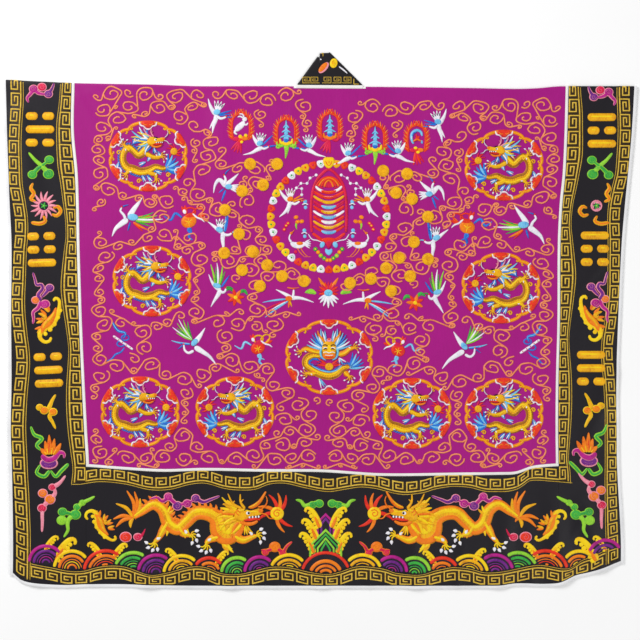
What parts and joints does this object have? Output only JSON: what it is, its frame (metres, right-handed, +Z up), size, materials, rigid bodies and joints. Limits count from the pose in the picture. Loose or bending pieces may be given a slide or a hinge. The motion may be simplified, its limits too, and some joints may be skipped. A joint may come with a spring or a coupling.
{
  "type": "taoist priest's ceremonial robe",
  "caption": "Flat-laid taoist ceremonial robe, back up: purple satin ground, black embroidered borders, folded collar band and white piping.",
  "frame": {"origin": "centre of the bounding box at its base, on the surface that the robe lies on", "axes": "+Z up off the surface, +Y from the hem towards the shoulder fold, +X across the back towards the wearer's right side"},
  "size_m": [1.6684, 1.4113, 0.01],
  "materials": {
    "purple_satin": "magenta-purple satin with a soft sheen",
    "black_satin": "near-black satin",
    "collar_satin": "near-black satin, interlined",
    "white_piping": "white cotton piping",
    "white_binding": "white cotton edge binding",
    "gold_thread": "gold satin-stitch thread",
    "gold_cord": "couched salmon-gold cord",
    "fret_thread": "pale gold fret thread",
    "fret_ground": "brown-gold woven fret ground",
    "orange_thread": "orange satin-stitch thread",
    "red_thread": "red satin-stitch thread",
    "pink_thread": "pink satin-stitch thread",
    "violet_thread": "violet satin-stitch thread",
    "blue_thread": "blue satin-stitch thread",
    "pale_blue_thread": "pale blue satin-stitch thread",
    "green_thread": "green satin-stitch thread",
    "yellow_thread": "yellow satin-stitch thread",
    "white_thread": "white satin-stitch thread",
    "dark_thread": "dark outline thread"
  },
  "bodies": {
    "root": {"ground": "purple_satin", "side_border_left": "black_satin", "side_border_right": "black_satin", "hem_border_back": "black_satin", "hem_border_front_left": "black_satin", "hem_border_front_right": "black_satin", "collar_left": "collar_satin", "collar_right": "collar_satin", "side_piping_left": "white_piping", "side_piping_right": "white_piping", "hem_piping_back": "white_piping", "hem_piping_front_left": "white_piping", "hem_piping_front_right": "white_piping", "neck_piping": "white_piping", "front_piping_left": "white_piping", "front_piping_right": "white_piping", "edge_binding_left": "white_binding", "edge_binding_right": "white_binding", "hem_binding_back": "white_binding", "hem_binding_front_left": "white_binding", "hem_binding_front_right": "white_binding"}
  },
  "joints": []
}
